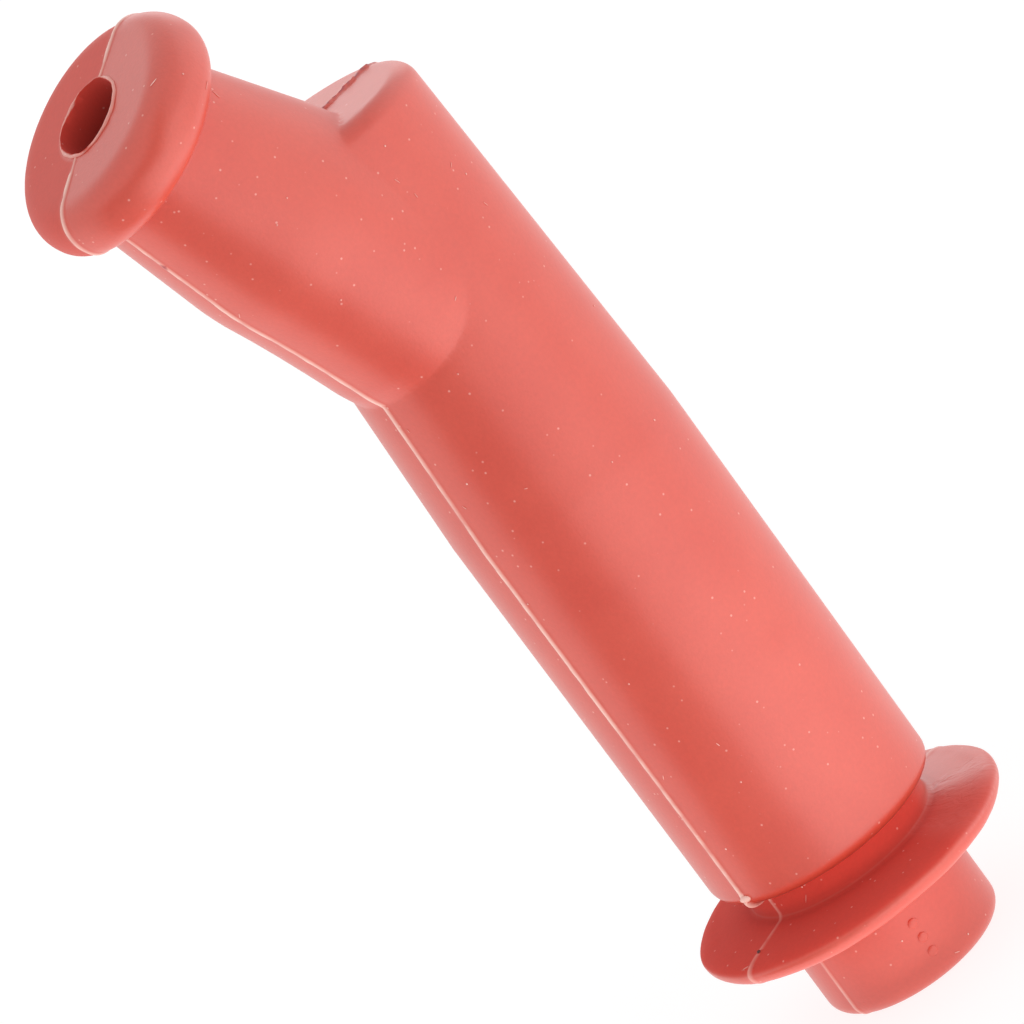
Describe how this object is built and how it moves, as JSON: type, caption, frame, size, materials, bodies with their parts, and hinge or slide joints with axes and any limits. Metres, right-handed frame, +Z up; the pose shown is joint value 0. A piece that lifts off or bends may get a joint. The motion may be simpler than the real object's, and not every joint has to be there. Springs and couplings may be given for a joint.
{
  "type": "spark plug cap",
  "caption": "Angled one-piece silicone rubber spark plug cap with a rolled wire entry, a long barrel and a sealing lip above the plug end.",
  "frame": {"origin": "middle of the footprint, level with the flat face of the plug end that the cap stands on", "axes": "+Z up the barrel, away from the spark plug; the neck leans towards +X; Y is across the mould's parting plane"},
  "size_m": [0.0386, 0.0288, 0.1027],
  "materials": {
    "silicone_rubber": "satin as moulded, with a faint bloom and fine dust"
  },
  "bodies": {
    "root": {"boot": "silicone_rubber"}
  },
  "joints": []
}
